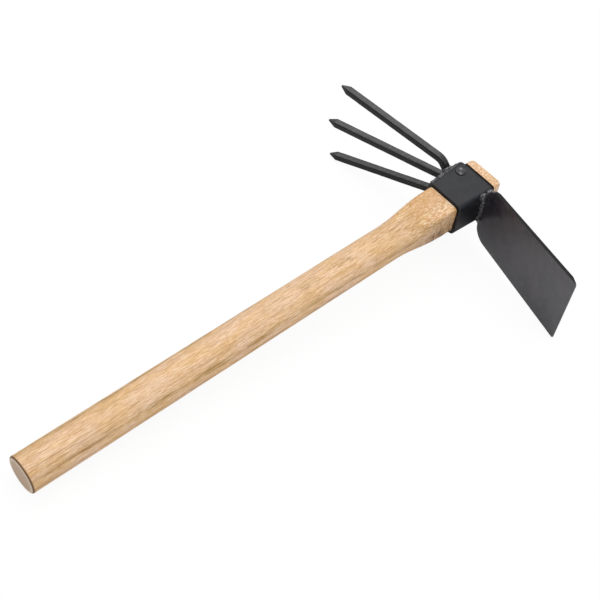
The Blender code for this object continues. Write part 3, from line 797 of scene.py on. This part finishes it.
far_face = BLADE_STATION + PLATE_THICKNESS / math.cos(BLADE_TILT)
for name, node, x, towards, seed, lump in (
    ("blade_bead_handle_side", "blade_weld_handle_side", BLADE_STATION - 0.0008, -1, 11.0, 0.35),
    ("blade_bead_head_side", "blade_weld_head_side", far_face + 0.0008, 1, 17.0, 0.2),
):
    bead_low, bead_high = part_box(node)
    bead_path = [
        side_point(x + towards * FOLD_RUN, -1, bead_high.z + 0.0007, -0.0010),
        side_point(x - towards * 0.0016, -1, bead_high.z + 0.0004, -0.0002),
        side_point(x, -1, bead_high.z - 0.0034, 0.0005),
        side_point(x, -1, bead_low.z, 0.0005),
    ]
    bead_run = bead_shape(bead_path, CORNER_BEAD_RADIUS, seed, Vector((0, -1, 0)), first_lump=lump)
    bead = make_piece(name, bead_run)
    bead.data.materials.append(weld_finish(name + "_paint", bare=0.4))
    fit(bead, node)


# ---- Tines --------------------------------------------------------------------------------------
# Three lengths of square bar, drawn down to blunt four-sided points. The centre one is straight and
# the outer two are bent at an elbow beside the collar, so that the points spread evenly.

TINE_HALF = 0.00285
TINE_SQUARENESS = 5.5
TINE_SIDES = 40
TINE_POINT_LENGTH = 0.0065
TINE_POINT_SHARE = 0.2
CENTRE_TINE_STATION = 0.3922
CENTRE_TINE_TILT = math.radians(18.6)
CENTRE_TINE_LENGTH = 0.1056
OUTER_TINE_STATION = 0.3906
OUTER_TINE_TILT = math.radians(16.4)
OUTER_TINE_LENGTH = 0.1005
OUTER_TINE_REACH = 0.0371
ELBOW = Vector((0.0084, 0, 0.0170))
ELBOW_RADIUS = 0.0110
ROOT = Vector((0, 0, 0.0058))
ROOT_SPARE = 0.0100
RUN_STEPS = 40
# how square to a tine's up a face is before it gets the lighter paint, which is painted light
LIT_FLAT_FACING = 0.8
TINE_DENT = 0.00009


def bar_station(point, climb, size=1.0):
    """Place, climb and size of a tine's square section in the tine's own plane."""
    scale = Matrix.Diagonal((1, TINE_HALF * size, TINE_HALF * size, 1))
    return Matrix.Translation(point) @ Matrix.Rotation(-climb, 4, "Y") @ scale


def run_stations(start, tip, climb):
    """The straight run of a tine and its point."""
    way = (tip - start).normalized()
    shoulder = tip - way * TINE_POINT_LENGTH
    run_shares = [step / RUN_STEPS for step in range(1, RUN_STEPS + 1)]
    stations = [bar_station(between(start, shoulder, share), climb) for share in run_shares]
    stations.append(bar_station(between(shoulder, tip, 0.12), climb, 0.93))
    near_point = between(1.0, TINE_POINT_SHARE, 0.93)
    stations.append(bar_station(between(shoulder, tip, 0.93), climb, near_point))
    stations.append(bar_station(tip, climb, TINE_POINT_SHARE * 0.75))
    return stations


def outer_stations():
    """Root, elbow, run and point of an outer tine."""
    tip = Vector((OUTER_TINE_LENGTH, 0, OUTER_TINE_REACH))
    root_climb = math.atan2(ELBOW.z - ROOT.z, ELBOW.x - ROOT.x)
    run_climb = math.atan2(tip.z - ELBOW.z, tip.x - ELBOW.x)
    turn = root_climb - run_climb
    root_way = Vector((math.cos(root_climb), 0, math.sin(root_climb)))
    bend_start = ELBOW - root_way * ELBOW_RADIUS * math.tan(turn / 2)
    bend_centre = bend_start + Vector((math.sin(root_climb), 0, -math.cos(root_climb))) * ELBOW_RADIUS
    stations = [bar_station(ROOT - root_way * ROOT_SPARE, root_climb)]
    elbow_steps = 16
    for step in range(elbow_steps + 1):
        climb = root_climb - turn * step / elbow_steps
        out = Vector((-math.sin(climb), 0, math.cos(climb)))
        stations.append(bar_station(bend_centre + out * ELBOW_RADIUS, climb))
    last = stations[-1].translation
    return stations + run_stations(last, tip, run_climb)


def bar_shape(stations):
    """Draws the square section through its stations."""
    shape = bmesh.new()
    last = stations[0]

    def square(point):
        return on_section(point, 0, 1.0, 1.0, TINE_SQUARENESS)

    rim = start_ring(shape, TINE_SIDES, lambda point: last @ square(point))
    for following in stations[1:]:
        move = following @ last.inverted()
        rim = draw_out(shape, rim, lambda point: move @ point)
        last = following
    bmesh.ops.holes_fill(shape, edges=[edge for edge in shape.edges if edge.is_boundary], sides=0)
    return shape


def finish_tine(name, shape, node, pitch, yaw, seed):
    """Dents a tine, and paints its flats greyer and its sides darker: painted light on the flats and
    painted shade on the sides, with worn streaks on the flats.
    """
    dent(shape, TINE_DENT, 180, seed)
    tine = make_piece(name, shape, sharp_degrees=32)
    turn = (0, pitch, yaw)
    tine.data.materials.append(black_paint(name + "_shaded_side_paint", 0.007, roughness=0.42, specular=0.30))
    tine.data.materials.append(black_paint(
        name + "_lit_flat_paint", 0.018, roughness=0.38, specular=0.55,
        streak_turn=turn, streaks=0.35, cast=(1, 1, 1.03),
    ))
    # Painted light and shade: faces square to the tine's up get the lighter paint, the sides get the
    # darker paint.
    lit_flat_up = Matrix.Rotation(-yaw, 3, "Z") @ Matrix.Rotation(-pitch, 3, "Y") @ Vector((0, 0, 1))
    for face in tine.data.polygons:
        face.material_index = int(abs(face.normal.dot(lit_flat_up)) > LIT_FLAT_FACING)
    fit(tine, node)


centre_start = Vector((-ROOT_SPARE, 0, 0))
centre_tip = Vector((CENTRE_TINE_LENGTH, 0, 0))
centre = bar_shape([bar_station(centre_start, 0)] + run_stations(centre_start, centre_tip, 0))
centre.transform(side_frame(CENTRE_TINE_STATION, 1, CENTRE_TINE_TILT))
trim_to_collar(centre, side=1)
finish_tine("centre_bar", centre, "centre_tine", 0, -math.pi / 2 - CENTRE_TINE_TILT, 1.0)

run_slope = math.atan2(OUTER_TINE_REACH - ELBOW.z, OUTER_TINE_LENGTH - ELBOW.x)
for name, node, side, seed in (("upper_bar", "upper_tine", 1, 2.0), ("lower_bar", "lower_tine", -1, 3.0)):
    outer = bar_shape(outer_stations())
    outer.transform(side_frame(OUTER_TINE_STATION, 1, OUTER_TINE_TILT))
    trim_to_collar(outer, side=1)
    slice_off(outer, Vector((0, 0, TINE_HALF + CLEARANCE / 2)), Vector((0, 0, 1)), clear_inner=True)
    bmesh.ops.scale(outer, vec=(1, 1, side), verts=outer.verts)
    finish_tine(name, outer, node, side * run_slope, -math.pi / 2 - OUTER_TINE_TILT, seed)


# ---- Tine welds ---------------------------------------------------------------------------------
# The three roots sit side by side on the collar and are welded round: a run down each side of the
# stack, and a short one over the top root and under the bottom one.

ROOT_BEAD_RADIUS = 0.0019

handle_side = OUTER_TINE_STATION - TINE_HALF / math.cos(OUTER_TINE_TILT)
head_side = CENTRE_TINE_STATION + TINE_HALF / math.cos(CENTRE_TINE_TILT)
for name, node, x, seed in (
    ("root_bead_handle_side", "tine_weld_handle_side", handle_side - 0.0006, 23.0),
    ("root_bead_head_side", "tine_weld_head_side", head_side + 0.0006, 29.0),
):
    bead_low, bead_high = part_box(node)
    bead_path = [side_point(x, 1, bead_high.z, 0.0006), side_point(x, 1, bead_low.z, 0.0006)]
    bead = make_piece(name, bead_shape(bead_path, CORNER_BEAD_RADIUS, seed, Vector((0, 1, 0))))
    bead.data.materials.append(weld_finish(name + "_paint"))
    fit(bead, node)

for name, node, side, seed in (
    ("root_bead_upper", "tine_weld_upper", 1, 31.0),
    ("root_bead_lower", "tine_weld_lower", -1, 37.0),
):
    bead_low, bead_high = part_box(node)
    inner_z = bead_low.z if side > 0 else bead_high.z
    height = inner_z + side * 0.0008
    bead_path = [
        side_point(bead_low.x - 0.0022, 1, height - side * 0.0022, 0.0034),
        side_point(bead_low.x + 0.0004, 1, height, 0.0012),
        side_point(bead_high.x + 0.0004, 1, height, 0.0006),
    ]
    bead_run = bead_shape(bead_path, ROOT_BEAD_RADIUS, seed, Vector((0, 1, 0)), first_lump=0.25)
    bead = make_piece(name, bead_run)
    bead.data.materials.append(weld_finish(name + "_paint"))
    fit(bead, node)


# ---- Floor, light and camera --------------------------------------------------------------------
# The tool lies on its side on a plain pale floor, touching it with the lower tine's point, the
# blade's lower corner and the rim of the butt, under a large soft light from above.

FLOOR_SIZE = 6.0
FLOOR_DROP = 0.0003
tine_low, tine_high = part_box("lower_tine")
blade_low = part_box("hoe_blade")[0]
rests = (
    Vector((tine_low.x, tine_high.y, tine_low.z)),
    Vector((blade_low.x, blade_low.y, blade_low.z)),
    Vector((BUTT_ROUNDING, 0, handle_low.z)),
)
floor_normal = (rests[1] - rests[0]).cross(rests[2] - rests[0]).normalized()
if floor_normal.z < 0:
    floor_normal.negate()
floor_shape = bmesh.new()
floor_turn = Vector((0, 0, 1)).rotation_difference(floor_normal).to_matrix().to_4x4()
floor_place = Matrix.Translation(rests[0] - floor_normal * FLOOR_DROP) @ floor_turn
bmesh.ops.create_grid(floor_shape, x_segments=1, y_segments=1, size=FLOOR_SIZE / 2, matrix=floor_place)
floor_mesh = bpy.data.meshes.new("pale_floor")
floor_shape.to_mesh(floor_mesh)
floor_shape.free()
floor = bpy.data.objects.new("pale_floor", floor_mesh)
bpy.context.scene.collection.objects.link(floor)
pale = Finish("floor_paper", Roughness=0.9, Specular_IOR_Level=0.0, Base_Color=(0.74, 0.74, 0.75, 1))
glow = pale.node("ShaderNodeEmission", {}, {"Color": (1, 1, 1, 1), "Strength": 1.0})
lit = pale.node("ShaderNodeBsdfDiffuse", {}, {"Color": (0.9, 0.9, 0.9, 1)})
seen = pale.node("ShaderNodeMixShader", {}, {0: 0.07, 1: glow, 2: lit})
eye_ray = pale.node("ShaderNodeLightPath", output="Is Camera Ray")
both = pale.node("ShaderNodeMixShader", {}, {0: eye_ray, 1: Wire(pale, pale.shader.outputs[0]), 2: seen})
pale.tree.links.new(both.socket, pale.tree.nodes["Material Output"].inputs["Surface"])
floor_mesh.materials.append(pale.material)

world = bpy.data.worlds.new("studio")
world.use_nodes = True
sky = world.node_tree.nodes
height = sky.new("ShaderNodeSeparateXYZ")
fade = sky.new("ShaderNodeMapRange")
fade.interpolation_type = "SMOOTHSTEP"
for socket, value in (("From Min", -0.1), ("From Max", 0.8), ("To Min", 0.13), ("To Max", 0.76)):
    fade.inputs[socket].default_value = value
world.node_tree.links.new(sky.new("ShaderNodeTexCoord").outputs["Generated"], height.inputs[0])
world.node_tree.links.new(height.outputs["Z"], fade.inputs["Value"])
world.node_tree.links.new(fade.outputs[0], sky["Background"].inputs["Strength"])
sky["Background"].inputs["Color"].default_value = (1, 1, 1, 1)
bpy.context.scene.world = world
bpy.context.scene.view_settings.view_transform = "Standard"

tool_middle = (cad_bounds[0] + cad_bounds[1]) / 2


def soft_light(name, azimuth, elevation, distance, size, watts):
    """A square softbox, aimed at the middle of the tool from a distance."""
    lamp = bpy.data.lights.new(name, "AREA")
    lamp.shape = "SQUARE"
    lamp.size = size
    lamp.energy = watts
    box = bpy.data.objects.new(name, lamp)
    bpy.context.scene.collection.objects.link(box)
    side, up = math.radians(azimuth), math.radians(elevation)
    away = Vector((math.sin(side) * math.cos(up), -math.cos(side) * math.cos(up), math.sin(up)))
    box.location = tool_middle + away * distance
    box.rotation_mode = "QUATERNION"
    box.rotation_quaternion = away.to_track_quat("Z", "Y")


soft_light("overhead", 135, 66, 1.5, 2.1, 21.5)
soft_light("front_fill", 15, 20, 1.6, 1.0, 6)

AIM = Vector((0.2249, -0.0012, 0))
CAMERA_AZIMUTH = math.radians(-48.64)
CAMERA_ELEVATION = math.radians(52.87)
CAMERA_ROLL = math.radians(9.67)
CAMERA_DISTANCE = 0.8332
SENSOR_WIDTH = 36
FOCAL_LENGTH = 72.2
camera = bpy.data.objects.new("camera", bpy.data.cameras.new("camera"))
bpy.context.scene.collection.objects.link(camera)
camera.data.sensor_width = SENSOR_WIDTH
camera.data.lens = FOCAL_LENGTH
camera.data.clip_start = 0.01
camera.data.clip_end = 20
back = Vector((
    math.sin(CAMERA_AZIMUTH) * math.cos(CAMERA_ELEVATION),
    -math.cos(CAMERA_AZIMUTH) * math.cos(CAMERA_ELEVATION),
    math.sin(CAMERA_ELEVATION),
))
camera.location = AIM + back * CAMERA_DISTANCE
camera.rotation_mode = "QUATERNION"
camera.rotation_quaternion = (-back).to_track_quat("-Z", "Y") @ Quaternion((0, 0, 1), CAMERA_ROLL)
bpy.context.scene.camera = camera
